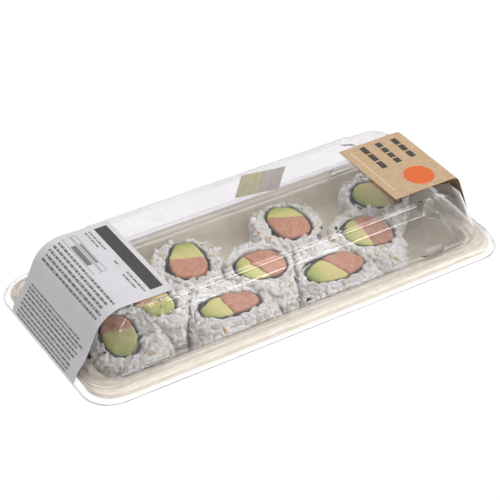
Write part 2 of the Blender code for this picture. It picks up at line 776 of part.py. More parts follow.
buildTray(makeMaterial("moulded pulp", colours["pulp"], 0.85))
buildLid(makeMaterial("clear sheet", colours["clear"], 0.08, 0.3))
buildSheet("white_label", whitePath(), whiteFront, whiteBack,
           makeMaterial("white paper", colours["white paper"], 0.6))
buildSheet("kraft_label", kraftPath(), kraftFront, kraftBack,
           makeMaterial("kraft paper", colours["kraft"], 0.8))
buildSticker(makeMaterial("sticker film", colours["film"], 0.4))
for roll in rolls:
    own = {kind: makeMaterial(roll["name"] + " " + kind, colours[kind], 0.6)
           for kind in ("rice", "nori", "avocado", "salmon")}
    buildRoll(roll, own)
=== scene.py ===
# Takeaway sushi tray: the looks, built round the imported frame.
# Lengths are in metres; mm turns a size in millimetres into metres.

import math
import random

import bmesh
import bpy
import numpy as np
from mathutils import Matrix, Vector, noise
from mathutils.bvhtree import BVHTree


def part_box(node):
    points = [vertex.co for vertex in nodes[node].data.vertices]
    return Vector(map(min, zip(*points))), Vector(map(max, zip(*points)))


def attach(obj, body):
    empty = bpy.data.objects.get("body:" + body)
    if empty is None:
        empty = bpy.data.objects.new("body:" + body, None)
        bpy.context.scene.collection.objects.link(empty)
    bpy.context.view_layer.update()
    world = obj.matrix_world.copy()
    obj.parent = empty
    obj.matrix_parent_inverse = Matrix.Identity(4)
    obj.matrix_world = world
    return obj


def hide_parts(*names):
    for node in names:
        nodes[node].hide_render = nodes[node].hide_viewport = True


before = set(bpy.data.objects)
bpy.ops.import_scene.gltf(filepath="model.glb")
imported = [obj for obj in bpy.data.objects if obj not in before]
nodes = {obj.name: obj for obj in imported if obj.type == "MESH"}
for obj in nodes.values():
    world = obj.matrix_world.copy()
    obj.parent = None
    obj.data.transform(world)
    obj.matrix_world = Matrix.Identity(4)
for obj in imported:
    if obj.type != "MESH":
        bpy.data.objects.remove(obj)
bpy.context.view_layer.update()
mm = 0.001
rimTop = 17.5 * mm  # the tray's rim over the table
rollNames = ["roll_%d" % number for number in range(1, 10)]


# Helpers for materials.

def linear(hexColour):
    channels = [int(hexColour[i:i + 2], 16) / 255 for i in (0, 2, 4)]
    return (*[c / 12.92 if c <= 0.04045 else ((c + 0.055) / 1.055) ** 2.4 for c in channels], 1.0)


def addNode(material, kind, inputs=None, stops=(), feeds=None, **settings):
    # A socket given for an input is linked to it, any other value is set. The
    # stops are a ramp's, and feeds is the socket that the first output goes to.
    tree = material.node_tree
    made = tree.nodes.new(kind)
    for key, value in settings.items():
        setattr(made, key, value)
    for key, value in (inputs or {}).items():
        if isinstance(value, bpy.types.NodeSocket):
            tree.links.new(value, made.inputs[key])
        else:
            made.inputs[key].default_value = value
    if stops:
        elements = made.color_ramp.elements
        while len(elements) < len(stops):
            elements.new(0.5)
        for element, (place, colour) in zip(elements, stops):
            element.position = place
            element.color = linear(colour)
    if feeds is not None:
        tree.links.new(made.outputs[0], feeds)
    return made.outputs


def newMaterial(name, **values):
    # Gives the material, its shader's sockets and the place on the piece in metres.
    material = bpy.data.materials.new(name)
    material.use_nodes = True
    finish = material.node_tree.nodes["Principled BSDF"].inputs
    for key, value in values.items():
        finish[key.replace("_", " ")].default_value = value
    return material, finish, addNode(material, "ShaderNodeTexCoord")["Object"]


def nearlyEven(name, roughness, spots, low, high, spread=(0.3, 0.7)):
    # A finish of one colour that varies a little from place to place.
    material, finish, place = newMaterial(name, Roughness=roughness)
    mottle = addNode(material, "ShaderNodeTexNoise", {"Vector": place, "Scale": 1 / spots})["Fac"]
    addNode(material, "ShaderNodeValToRGB", {"Fac": mottle}, list(zip(spread, (low, high))),
            finish["Base Color"])
    return material


# Helpers for meshes.

def addPiece(name, mesh, material, replaced=(), smoothAngle=40):
    piece = bpy.data.objects.new(name, mesh)
    bpy.context.scene.collection.objects.link(piece)
    mesh.materials.clear()
    mesh.materials.append(material)
    mesh.shade_smooth()
    if smoothAngle is not None:
        mesh.set_sharp_from_angle(angle=math.radians(smoothAngle))
    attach(piece, "root")
    if replaced:
        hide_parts(*replaced)
    return piece


def meshFrom(name, points, faces):
    mesh = bpy.data.meshes.new(name)
    mesh.from_pydata([tuple(p) for p in points], [], faces)
    form = bmesh.new()
    form.from_mesh(mesh)
    bmesh.ops.recalc_face_normals(form, faces=form.faces)
    form.to_mesh(mesh)
    form.free()
    return mesh


def loftRings(name, rings, closed=True):
    count = len(rings[0])
    points = [p for ring in rings for p in ring]
    faces = []
    for k in range(len(rings) - 1):
        low, high = k * count, (k + 1) * count
        faces += [(low + i, low + (i + 1) % count, high + (i + 1) % count, high + i)
                  for i in range(count)]
    faces.append(tuple(range((len(rings) - 1) * count, len(rings) * count)))
    if closed:
        faces.append(tuple(range(count)))
    return meshFrom(name, points, faces)


def applyModifiers(piece):
    bpy.context.view_layer.update()
    graph = bpy.context.evaluated_depsgraph_get()
    mesh = bpy.data.meshes.new_from_object(piece.evaluated_get(graph))
    piece.modifiers.clear()
    piece.data = mesh


def easeCreases(levels, steps=4):
    # Rounds the creases of a profile. Each level is its values, the second a
    # width and the fourth a height, and the radius that its crease gets.
    path = []
    for i, (level, radius) in enumerate(levels):
        here = np.array(level, float)
        if not radius or i in (0, len(levels) - 1):
            path.append(here)
            continue
        ends = []
        for other in (levels[i - 1][0], levels[i + 1][0]):
            away = np.array(other, float) - here
            span = math.hypot(away[1], away[3])
            ends.append(here + away * min(radius / max(span, 1e-9), 0.48))
        for k in range(steps + 1):
            t = k / steps
            path.append((1 - t) ** 2 * ends[0] + 2 * t * (1 - t) * here + t * t * ends[1])
    return path


def smoothStep(low, high, value):
    share = min(max((value - low) / (high - low), 0.0), 1.0)
    return share * share * (3 - 2 * share)


def betweenPairs(pairs, value):
    return float(np.interp(value, [p[0] for p in pairs], [p[1] for p in pairs]))


def softened(path, times):
    # Evens out a line of points; its ends stay.
    for _ in range(times):
        between = [(a + 2 * b + c) / 4 for a, b, c in zip(path, path[1:], path[2:])]
        path = [path[0], *between, path[-1]]
    return path


evenStops = [x * mm for x in range(-78, 79, 6)]


def ringRound(halfLength, halfWidth, corner, height, stops, cornerSteps=10, endSteps=8, outerSteps=7):
    # Points round a rectangle with round corners, from the front's left end.
    reach, side = halfLength - corner, halfWidth - corner
    limit = stops[-1]
    outer = [limit + (reach - limit) * k / outerSteps for k in range(1, outerSteps)]
    front = [-x for x in reversed(outer)] + list(stops) + outer
    points = [(x, -halfWidth, height) for x in front]

    def turn(cx, cy, start):
        for k in range(cornerSteps + 1):
            angle = math.radians(start + 90 * k / cornerSteps)
            points.append((cx + corner * math.cos(angle), cy + corner * math.sin(angle), height))

    def end(x, direction):
        for k in range(1, endSteps):
            points.append((x, direction * side * (2 * k / endSteps - 1), height))

    turn(reach, -side, -90)
    end(halfLength, 1)
    turn(reach, side, 0)
    points.extend((x, halfWidth, height) for x in reversed(front))
    turn(-reach, side, 90)
    end(-halfLength, -1)
    turn(-reach, -side, 180)
    return points


print("stage: materials")

# The scale of a noise is one over the width of its spots.

# Moulded pulp, bagasse pressed wet and dried: matt, cream, with short fibres
# and soft darker clouds that give the rim its papery look.
pulp, pulpFinish, pulpPlace = newMaterial("moulded bagasse pulp", Roughness=0.82, IOR=1.45)
pulpClouds = addNode(pulp, "ShaderNodeTexNoise",
                     {"Vector": pulpPlace, "Scale": 1 / (6.25 * mm), "Detail": 4.0})
pulpAlong = addNode(pulp, "ShaderNodeMapping", {"Vector": pulpPlace, "Scale": (0.35, 1, 1)})
pulpFibres = addNode(pulp, "ShaderNodeTexNoise",
                     {"Vector": pulpAlong[0], "Scale": 1 / (1.11 * mm), "Detail": 3.0})
pulpSum = addNode(pulp, "ShaderNodeMath", {0: pulpClouds[0], 1: pulpFibres[0]}, operation="ADD")
pulpHalf = addNode(pulp, "ShaderNodeMath", {0: pulpSum[0], 1: 0.5}, operation="MULTIPLY")
addNode(pulp, "ShaderNodeValToRGB", {"Fac": pulpHalf[0]},
        [(0.36, "e6dbc7"), (0.5, "f0e6d3"), (0.62, "f6eede")], pulpFinish["Base Color"])
addNode(pulp, "ShaderNodeBump", {"Height": pulpFibres[0], "Distance": 0.12 * mm}, feeds=pulpFinish["Normal"])

# Clear PET sheet, thermoformed: glossy and hard to see but for its creases,
# with a faint waviness from the forming.
pet, petFinish, petPlace = newMaterial("clear thermoformed PET", Roughness=0.04, IOR=1.5,
                                       Transmission_Weight=1.0, Base_Color=linear("fdfcfe"))
petWaves = addNode(pet, "ShaderNodeTexNoise", {"Vector": petPlace, "Scale": 1 / (16.7 * mm), "Detail": 1.0})
addNode(pet, "ShaderNodeBump", {"Height": petWaves[0], "Distance": 0.10 * mm}, feeds=petFinish["Normal"])

# Thermal label paper: smooth, cool white, a slight sheen.
thermal, thermalFinish, thermalPlace = newMaterial("thermal label paper", Roughness=0.5)
thermalWaves = addNode(thermal, "ShaderNodeTexNoise", {"Vector": thermalPlace, "Scale": 1 / (16.7 * mm)})
addNode(thermal, "ShaderNodeValToRGB", {"Fac": thermalWaves[0]}, [(0.3, "b4b2b5"), (0.7, "b9b7bb")],
        thermalFinish["Base Color"])
addNode(thermal, "ShaderNodeBump", {"Height": thermalWaves[0], "Distance": 0.05 * mm},
        feeds=thermalFinish["Normal"])

# Kraft paper: brown, matt, with fine lines of fibre along it.
kraft, kraftFinish, kraftPlace = newMaterial("kraft label paper", Roughness=0.75)
kraftAlong = addNode(kraft, "ShaderNodeMapping", {"Vector": kraftPlace, "Scale": (0.3, 1, 1)})
kraftFibres = addNode(kraft, "ShaderNodeTexNoise",
                      {"Vector": kraftAlong[0], "Scale": 1 / (1.11 * mm), "Detail": 4.0})
addNode(kraft, "ShaderNodeValToRGB", {"Fac": kraftFibres[0]},
        [(0.3, "9f866b"), (0.5, "a68c6d"), (0.7, "af9779")], kraftFinish["Base Color"])
addNode(kraft, "ShaderNodeBump", {"Height": kraftFibres[0], "Distance": 0.04 * mm},
        feeds=kraftFinish["Normal"])

# Printing inks on the labels: flat, slightly satin, a little uneven.
blackInk = nearlyEven("black thermal print", 0.5, 1.43 * mm, "2b2826", "37332f")
textInk = nearlyEven("grey thermal print", 0.5, 1.11 * mm, "545254", "6b696c", (0.35, 0.65))
orangeInk = nearlyEven("orange offset ink", 0.55, 1.43 * mm, "b95010", "bf5716")
darkInk = nearlyEven("dark offset ink", 0.55, 1.43 * mm, "2a2522", "342e2a")
paleInk = nearlyEven("pale offset ink", 0.55, 1.43 * mm, "c2ab90", "cbb69d")

# Sticker film: printed olive on one half and grey-brown on the other, seen
# from its back through the lid, with upright streaks.
film, filmFinish, filmPlace = newMaterial("printed sticker film", Roughness=0.5, Transmission_Weight=0.9)
filmAcross = addNode(film, "ShaderNodeSeparateXYZ", {"Vector": filmPlace})["X"]
filmHalf = addNode(film, "ShaderNodeMapRange",
                   {"Value": filmAcross, "From Min": 26.0 * mm, "From Max": 27.5 * mm})["Result"]
filmUpright = addNode(film, "ShaderNodeMapping", {"Vector": filmPlace, "Scale": (0.5, 0.12, 0.12)})
filmStreaks = addNode(film, "ShaderNodeTexNoise",
                      {"Vector": filmUpright[0], "Scale": 1 / (0.91 * mm), "Detail": 1.0})
filmOlive = addNode(film, "ShaderNodeValToRGB", {"Fac": filmStreaks[0]}, [(0.4, "dad09b"), (0.6, "efe7c8")])
filmBrown = addNode(film, "ShaderNodeValToRGB", {"Fac": filmStreaks[0]}, [(0.4, "d6ccc5"), (0.6, "e8e0da")])
filmBoth = addNode(film, "ShaderNodeMix", {"Factor": filmHalf, 6: filmOlive[0], 7: filmBrown[0]},
                   data_type="RGBA")[2]
film.node_tree.links.new(filmBoth, filmFinish["Base Color"])

# Cooked short-grain rice: moist, milky, slightly see-through at the grain's
# tips; each grain carries its own shade.
rice, riceFinish, ricePlace = newMaterial(
    "cooked sushi rice", Roughness=0.42, IOR=1.4, Subsurface_Weight=0.35, Subsurface_Scale=1.2 * mm,
    Subsurface_Radius=(1.0, 0.9, 0.8))
riceShade = addNode(rice, "ShaderNodeAttribute", attribute_name="shade")["Fac"]
addNode(rice, "ShaderNodeValToRGB", {"Fac": riceShade},
        [(0.0, "d8d1c4"), (0.3, "f0ebe1"), (0.6, "f9f6ef"), (1.0, "fefdfa")], riceFinish["Base Color"])
riceDents = addNode(rice, "ShaderNodeTexNoise", {"Vector": ricePlace, "Scale": 1 / (1.43 * mm)})
addNode(rice, "ShaderNodeBump", {"Height": riceDents[0], "Distance": 0.12 * mm}, feeds=riceFinish["Normal"])

# Toasted and black sesame: dry, smooth and dull, each seed with its own tone.
tanSesame = nearlyEven("toasted sesame", 0.5, 2.0 * mm, "cfad82", "e0c9a2")
blackSesame = nearlyEven("black sesame", 0.45, 2.0 * mm, "2c2a28", "45413c")

# Roasted seaweed gone soft: near black green, satin, with fine wrinkles.
seaweed, seaweedFinish, seaweedPlace = newMaterial("roasted seaweed", Roughness=0.45)
seaweedWrinkles = addNode(seaweed, "ShaderNodeTexNoise",
                          {"Vector": seaweedPlace, "Scale": 1 / (2.22 * mm), "Detail": 3.0})
addNode(seaweed, "ShaderNodeValToRGB", {"Fac": seaweedWrinkles[0]},
        [(0.3, "1a201f"), (0.6, "2b3432"), (0.75, "46524f")], seaweedFinish["Base Color"])
addNode(seaweed, "ShaderNodeBump", {"Height": seaweedWrinkles[0], "Distance": 0.2 * mm},
        feeds=seaweedFinish["Normal"])

# Ripe avocado: buttery yellow inside, green toward the skin, moist.
# The attribute holds the place along the filling, 0 at the skin.
avocado, avocadoFinish, avocadoPlace = newMaterial(
    "avocado flesh", Roughness=0.38, IOR=1.4, Subsurface_Weight=0.2, Subsurface_Scale=1.5 * mm)
avocadoCut = addNode(avocado, "ShaderNodeAttribute", attribute_name="cut")["Vector"]
avocadoSkin = addNode(avocado, "ShaderNodeSeparateXYZ", {"Vector": avocadoCut})["X"]
avocadoMottle = addNode(avocado, "ShaderNodeTexNoise",
                        {"Vector": avocadoPlace, "Scale": 1 / (3.85 * mm), "Detail": 3.0})
avocadoShift = addNode(avocado, "ShaderNodeMath", {0: avocadoMottle[0], 1: 0.35, 2: avocadoSkin},
                       operation="MULTIPLY_ADD")
addNode(avocado, "ShaderNodeValToRGB", {"Fac": avocadoShift[0]},
        [(0.12, "93a84a"), (0.4, "bfc468"), (0.7, "dcd580"), (1.0, "e6db90")], avocadoFinish["Base Color"])
addNode(avocado, "ShaderNodeBump", {"Height": avocadoMottle[0], "Distance": 0.25 * mm},
        feeds=avocadoFinish["Normal"])

# Raw salmon: soft orange-pink with thin paler lines of fat across the piece,
# about 2 mm apart.
salmon, salmonFinish, salmonPlace = newMaterial(
    "raw salmon", Roughness=0.34, IOR=1.4, Subsurface_Weight=0.3, Subsurface_Scale=1.5 * mm)
salmonCut = addNode(salmon, "ShaderNodeAttribute", attribute_name="cut")["Vector"]
salmonFat = addNode(salmon, "ShaderNodeTexWave",
                    {"Vector": salmonCut, "Scale": 0.55, "Distortion": 7.0, "Detail": 3.0,
                     "Detail Scale": 0.5}, wave_type="BANDS", bands_direction="DIAGONAL")["Fac"]
salmonMottle = addNode(salmon, "ShaderNodeTexNoise",
                       {"Vector": salmonPlace, "Scale": 1 / (3.125 * mm), "Detail": 3.0})
salmonShift = addNode(salmon, "ShaderNodeMath", {0: salmonFat, 1: 0.16, 2: salmonMottle[0]},
                      operation="MULTIPLY_ADD")
addNode(salmon, "ShaderNodeValToRGB", {"Fac": salmonShift[0]},
        [(0.3, "cb8662"), (0.55, "d19172"), (0.7, "d79b7e"), (0.85, "dda68b")], salmonFinish["Base Color"])
addNode(salmon, "ShaderNodeBump", {"Height": salmonMottle[0], "Distance": 0.25 * mm},
        feeds=salmonFinish["Normal"])


print("stage: tray")

trayShape = {
    "wall": 1.2 * mm, "cavityWidth": 38.8 * mm, "cavityLonger": 61.4 * mm, "rimLonger": 62.4 * mm,
    "corner": 10.0 * mm, "draft": math.radians(12), "floorRound": 8.0 * mm, "ledge": 41.0 * mm,
    "flatTo": 44.9 * mm, "rimWidth": 46.9 * mm, "lipDrop": 3.0 * mm, "step": 0.7 * mm,
    "groove": 0.80 * mm, "floorInset": 12.0 * mm,
}


def buildTray():
    t = trayShape
    slope = math.tan(t["draft"])
    across = t["wall"] / math.cos(t["draft"])
    inner = t["cavityWidth"] - (rimTop - t["wall"]) * slope
    outer = t["cavityWidth"] + across - rimTop * slope
    under = rimTop - t["wall"]
    cavity, rim, corner = t["cavityLonger"], t["rimLonger"], t["corner"]

    def level(width, height, longer, corner, radius):
        return (width + longer, width, corner, height), radius

    # From the middle of the underside out, round the rim's lip and in to the floor.
    levels = [
        level(outer - t["floorInset"], 0, cavity, 4 * mm, 0),
        level(outer, 0, cavity, 9 * mm, t["floorRound"]),
        level(outer + under * slope, under, cavity, corner + 1 * mm, 0.8 * mm),
        level(t["flatTo"] - 0.6 * mm, under, rim, corner + 1 * mm, 0.8 * mm),
        level(t["rimWidth"] - t["wall"], rimTop - t["lipDrop"], rim, corner + 1.4 * mm, 0),
        level(t["rimWidth"], rimTop - t["lipDrop"], rim, corner + 2.0 * mm, 0.3 * mm),
        level(t["rimWidth"] - 0.2 * mm, rimTop - 1.1 * mm, rim, corner + 2.0 * mm, 0.7 * mm),
        level(t["flatTo"] + 0.5 * mm, rimTop - 0.35 * mm, rim, corner + 1.4 * mm, 0.3 * mm),
        level(t["flatTo"] - 0.1 * mm, rimTop, rim, corner + 1.2 * mm, 0.3 * mm),
        level(t["flatTo"] - 0.7 * mm, rimTop - t["groove"], rim, corner + 1.1 * mm, 0.3 * mm),
        level(t["ledge"] + 1.5 * mm, rimTop - t["groove"], rim - 0.3 * mm, corner + 1.1 * mm, 0.4 * mm),
        level(t["ledge"] + 0.9 * mm, rimTop, cavity + 0.3 * mm, corner + 1.0 * mm, 0.3 * mm),
        level(t["ledge"], rimTop, cavity, corner + 1.0 * mm, 0.5 * mm),
        level(t["ledge"] - 0.9 * mm, rimTop - t["step"], cavity, corner + 0.6 * mm, 0.4 * mm),
        level(t["cavityWidth"] - t["step"] * slope, rimTop - t["step"], cavity, corner, 0.7 * mm),
        level(inner, t["wall"], cavity, 8 * mm, t["floorRound"] * 0.9),
        level(inner - t["floorInset"], t["wall"], cavity, 4 * mm, 0),
    ]
    rings = [ringRound(*values, evenStops) for values in easeCreases(levels, 5)]
    addPiece("pulp_tray", loftRings("pulp_tray", rings), pulp, ["tray"], 60)


buildTray()


print("stage: lid")

lidShape = {
    "sheet": 0.4 * mm, "skirtLength": 112.5 * mm, "skirtWidth": 50.0 * mm, "skirtCorner": 14.0 * mm,
    "skirtDrop": 3.9 * mm, "bead": 0.38 * mm, "beadSides": 10, "sharpFrom": 50, "levelStep": 1.1 * mm,
    # The creases up to the flange and from there to the flat top, in mm: how far
    # in from the skirt's ends and sides, the corner's radius, the height over
    # the rim and the radius that the crease is eased to.
    "skirtCreases": [(0.38, 0.38, 13.7, -3.52, 0), (1.0, 1.0, 13.3, -3.3, 0.25),
                     (2.0, 1.9, 12.6, 0.1, 0.5), (3.0, 2.9, 12.0, 0.8, 0.6)],
    "wallCreases": [(5.9, 11.1, 9.8, 0.8, 0.6), (6.5, 11.6, 9.6, 2.2, 0.5), (13.9, 14.6, 9.4, 21.7, 1.3),
                    (18.9, 17.1, 9.2, 27.5, 1.2), (22.1, 18.6, 9.0, 28.5, 1.0), (25.5, 21.6, 7.4, 28.5, 0)],
    # Fine ridges on the flange, as shares of the way in over it.
    "ridges": (0.22, 0.60), "ridgeWidth": 0.22, "ridgeRise": 0.16 * mm, "ridgeRadius": 0.2 * mm,
    # The end of the front panel: its distance from the middle at heights over the rim.
    "arch": [(0.0, 93.0), (4.9, 90.5), (11.6, 85.8), (18.0, 80.8), (20.6, 77.0), (21.7, 73.0), (28.5, 72.0)],
    # How far the wall beyond the panel is set back, as shares of panelRise. It
    # runs straight from the foot to the top there.
    "panelRise": 2.2 * mm, "panelFrom": 1.2, "setBack": [(2.0, 0.0), (21.7, 1.0), (27.5, 0.6), (28.6, 0.6)],
    "archEdge": 1.8 * mm, "archLines": (-0.9 * mm, 0.9 * mm), "archRadius": 0.25 * mm,
    "archHeights": (1.6, 21.0), "archSteps": 44, "archSides": 6, "archSoftening": 6,
    "archWall": [(0.0, 38.7), (2.2, 38.4), (21.7, 35.4), (27.5, 32.9)],
    # Lugs and notches on the upper crease, and clips at the foot of the walls.
    # Heights over the rim are in mm.
    "crown": (23.5, 27.0), "crownWidth": 31.0 * mm, "lug": (71.0 * mm, 77.4 * mm), "lugEase": 0.6 * mm,
    "lugOut": 1.0 * mm, "lugUp": 0.6 * mm, "lugTop": (26.0, 28.4), "backLugs": 0.15,
    "notch": 69.6 * mm, "notchHalf": (0.3 * mm, 1.1 * mm), "notchIn": 0.8 * mm,
    "clip": (70.0 * mm, 80.6 * mm), "clipEase": 0.4 * mm, "clipFoot": (1.2, 1.8), "clipTop": (4.0, 4.5),
    "clipOut": 1.7 * mm,
}


def lidLevel(inLength, inWidth, corner, over, radius):
    size = (lidShape["skirtLength"] - inLength * mm, lidShape["skirtWidth"] - inWidth * mm)
    return (*size, corner * mm, rimTop + over * mm), radius * mm


def flangeRidges(outer, inner):
    outer, inner = np.array(outer), np.array(inner)
    made = []
    for place in lidShape["ridges"]:
        for shift, rise in ((-0.5, 0), (0, 1), (0.5, 0)):
            share = place + shift * lidShape["ridgeWidth"]
            lift = (0, 0, 0, rise * lidShape["ridgeRise"])
            made.append((outer + (inner - outer) * share + lift, lidShape["ridgeRadius"]))
    return made


def within(span, ease, value):
    # 1 inside a span, easing to 0 on both sides of it.
    return smoothStep(span[0] - ease, span[0], value) * (1 - smoothStep(span[1], span[1] + ease, value))


def wallPoint(x, y, z, halfWidth):
    # Sets the wall back beyond the panels, and forms the lugs, notches and clips.
    s = lidShape
    over = (z - rimTop) / mm
    if over <= s["panelFrom"]:
        return x, y, z
    along, side = abs(x), math.copysign(1.0, y)
    onSide = abs(y) > halfWidth - 0.01 * mm
    edge = betweenPairs(s["arch"], over) * mm
    beyond = smoothStep(edge - s["archEdge"] / 2, edge + s["archEdge"] / 2, along)
    y *= 1 - s["panelRise"] * betweenPairs(s["setBack"], over) * beyond / halfWidth
    if onSide and halfWidth > s["crownWidth"]:
        strength = smoothStep(*s["crown"], over) * (1.0 if y < 0 else s["backLugs"])
        lug = within(s["lug"], s["lugEase"], along)
        notch = 1 - smoothStep(*s["notchHalf"], abs(along - s["notch"]))
        clip = within(s["clip"], s["clipEase"], along) * smoothStep(*s["clipFoot"], over) * \
            (1 - smoothStep(*s["clipTop"], over))
        y += side * (strength * (lug * s["lugOut"] - notch * s["notchIn"]) + clip * s["clipOut"])
        z += smoothStep(*s["lugTop"], over) * lug * s["lugUp"] * strength
    return x, y, z


def buildLid():
    s = lidShape
    skirt = [lidLevel(*crease) for crease in s["skirtCreases"]]
    wall = [lidLevel(*crease) for crease in s["wallCreases"]]
    path = easeCreases([*skirt, *flangeRidges(skirt[-1][0], wall[0][0]), *wall], 4)
    # More levels on the tall walls, so that the arches and clips have points.
    fine = [path[0]]
    for step in path[1:]:
        before = fine[-1]
        parts = max(1, round(abs(step[3] - before[3]) / s["levelStep"]))
        fine += [before + (step - before) * k / parts for k in range(1, parts + 1)]
    stops = [x * mm for x in [*range(-79, -60), *range(-60, 60, 4), *range(60, 80)]]
    rings = []
    for halfLength, halfWidth, corner, height in fine:
        outline = ringRound(halfLength, halfWidth, corner, height, stops, outerSteps=20)
        rings.append([wallPoint(*point, halfWidth) for point in outline])
    mesh = loftRings("clear_lid", rings, closed=False)
    piece = addPiece("clear_lid", mesh, pet, ["lid"], s["sharpFrom"])
    shell = piece.modifiers.new("sheet", "SOLIDIFY")
    shell.thickness, shell.offset, shell.use_even_offset = s["sheet"], -1, True
    applyModifiers(piece)
    piece.data.shade_smooth()
    piece.data.set_sharp_from_angle(angle=math.radians(s["sharpFrom"]))


buildLid()


def archPath(end, direction, offset):
    s = lidShape
    path = []
    for k in range(s["archSteps"] + 1):
        low, high = s["archHeights"]
        over = low + (high - low) * k / s["archSteps"]
        x = betweenPairs(s["arch"], over) * mm + offset
        back = s["panelRise"] * (0.5 + offset / s["archEdge"] / 2) * betweenPairs(s["setBack"], over)
        y = betweenPairs(s["archWall"], over) * mm - back
        path.append(Vector((end * x, direction * y, rimTop + over * mm)))
    return softened(path, s["archSoftening"])


def buildArches():
    # The fine double crease where the front and back panels end in an arch.
    s = lidShape
    sides, last = s["archSides"], s["archSteps"]
    points, faces = [], []
    for direction in (-1, 1):
        for end in (-1, 1):
            for offset in s["archLines"]:
                path = archPath(end, direction, offset)
                base = len(points)
                out = Vector((0, direction, 0))
                for k, p in enumerate(path):
                    along = (path[min(k + 1, last)] - path[max(k - 1, 0)]).normalized()
                    across = along.cross(out).normalized()
                    for i in range(sides):
                        turn = 2 * math.pi * i / sides
                        points.append(p + (out * math.cos(turn) + across * math.sin(turn)) * s["archRadius"])
                for k in range(last):
                    a, b = base + k * sides, base + (k + 1) * sides
                    faces += [(a + i, a + (i + 1) % sides, b + (i + 1) % sides, b + i) for i in range(sides)]
                faces.append(tuple(base + i for i in range(sides)))
                faces.append(tuple(base + last * sides + i for i in range(sides)))
    addPiece("clear_lid_arches", meshFrom("clear_lid_arches", points, faces), pet)


buildArches()


def buildBead():
    # The rolled edge round the foot of the skirt.
    s = lidShape
    sides = s["beadSides"]
    points, faces = [], []
    for k in range(sides):
        turn = 2 * math.pi * k / sides
        out, up = s["bead"] * (math.cos(turn) - 1), s["bead"] * (math.sin(turn) + 1)
        points += ringRound(s["skirtLength"] + out, s["skirtWidth"] + out, s["skirtCorner"] + out,
                            rimTop - s["skirtDrop"] + up, evenStops)
    count = len(points) // sides
    for k in range(sides):
        low, high = k * count, (k + 1) % sides * count
        faces += [(low + i, low + (i + 1) % count, high + (i + 1) % count, high + i) for i in range(count)]
    addPiece("clear_lid_edge", meshFrom("clear_lid_edge", points, faces), pet)


buildBead()


print("stage: labels")

labelShape = {
    "paper": 0.25 * mm, "flat": 46.3 * mm, "tooth": 0.55 * mm, "toothPitch": 1.5 * mm,
    "whiteStart": -61.6 * mm, "whiteFront": -28.8 * mm, "whiteBack": 30.0 * mm,
    "kraftStart": 61.2 * mm, "kraftFront": -24.6 * mm, "kraftBack": 21.5 * mm,
    # The labels' bends over the lid's ends: centre and radius, in (x, z).
    "whiteBend": (-86.5 * mm, 31.6 * mm, 15.3 * mm), "kraftBend": (95.6 * mm, 42.7 * mm, 3.6 * mm),
}

# The ink's underside lies in the paper and its top stands a little proud.
inkHeights = (labelShape["paper"] - 0.01 * mm, labelShape["paper"] + 0.02 * mm)


def evenPath(corners, step):
    # Points at even steps along a line of corners, in (x, z).
    corners = [Vector(c) for c in corners]
    lengths = [0.0]
    for a, b in zip(corners, corners[1:]):
        lengths.append(lengths[-1] + (b - a).length)
    count = max(2, round(lengths[-1] / step))
    made = []
    for k in range(count + 1):
        at = lengths[-1] * k / count
        made.append(Vector((np.interp(at, lengths, [c.x for c in corners]),
                            np.interp(at, lengths, [c.y for c in corners]))))
    return softened(made, 3)


def bend(centreX, centreZ, radius, angles):
    turns = [math.radians(angle) for angle in angles]
    return [(centreX + radius * math.cos(turn), centreZ + radius * math.sin(turn)) for turn in turns]


def whiteCorners():
    flat = labelShape["flat"]
    top = [(labelShape["whiteStart"], flat), (-70 * mm, flat), (-78 * mm, flat + 0.3 * mm)]
    foot = [(-105.6 * mm, 26.0 * mm), (-110.7 * mm, 18.8 * mm), (-112.0 * mm, 14.6 * mm)]
    return top + bend(*labelShape["whiteBend"], range(90, 166, 5)) + foot


def kraftCorners():
    flat = labelShape["flat"]
    top = [(labelShape["kraftStart"], flat), (92 * mm, flat)]
    foot = [(103.6 * mm, 32.0 * mm), (107.6 * mm, 20.1 * mm)]
    return top + bend(*labelShape["kraftBend"], range(90, 15, -9)) + foot


def pathNormals(path):
    normals = []
    for i in range(len(path)):
        along = (path[min(i + 1, len(path) - 1)] - path[max(i - 1, 0)]).normalized()
        normal = Vector((-along.y, along.x))
        outward = normal.y > 0 if abs(along.x) > abs(along.y) else normal.x * path[i].x > 0
        normals.append(normal if outward else -normal)
    return normals


def buildLabel(name, corners, front, back, material, slot, serrated):
    path = evenPath(corners, 1.0 * mm)
    normals = pathNormals(path)
    columns = round((back - front) / (labelShape["toothPitch"] / 2))
    points, faces = [], []
    for depth in (0.0, labelShape["paper"]):
        for i, (p, n) in enumerate(zip(path, normals)):
            for j in range(columns + 1):
                y = front + (back - front) * j / columns
                x = p.x + n.x * depth
                if serrated and i == 0 and j % 2:
                    x += math.copysign(labelShape["tooth"], p.x)
                points.append((x, y, p.y + n.y * depth))
    wide = columns + 1
    layer = wide * len(path)
    for i in range(len(path) - 1):
        for j in range(columns):
            a = i * wide + j
            quad = (a, a + 1, a + wide + 1, a + wide)
            faces += [quad, tuple(layer + q for q in quad)]
    rim = [*range(wide), *[i * wide + columns for i in range(1, len(path))],
           *[(len(path) - 1) * wide + j for j in range(columns - 1, -1, -1)],
           *[i * wide for i in range(len(path) - 2, 0, -1)]]
    faces += [(a, b, layer + b, layer + a) for a, b in zip(rim, rim[1:] + rim[:1])]
    addPiece(name, meshFrom(name, points, faces), material, [slot])


def surfacePoint(path, normals, lengths, s, y, lift):
    x = np.interp(s, lengths, [p.x for p in path])
    z = np.interp(s, lengths, [p.y for p in path])
    nx = np.interp(s, lengths, [n.x for n in normals])
    nz = np.interp(s, lengths, [n.y for n in normals])
    return (x + nx * lift, y, z + nz * lift)


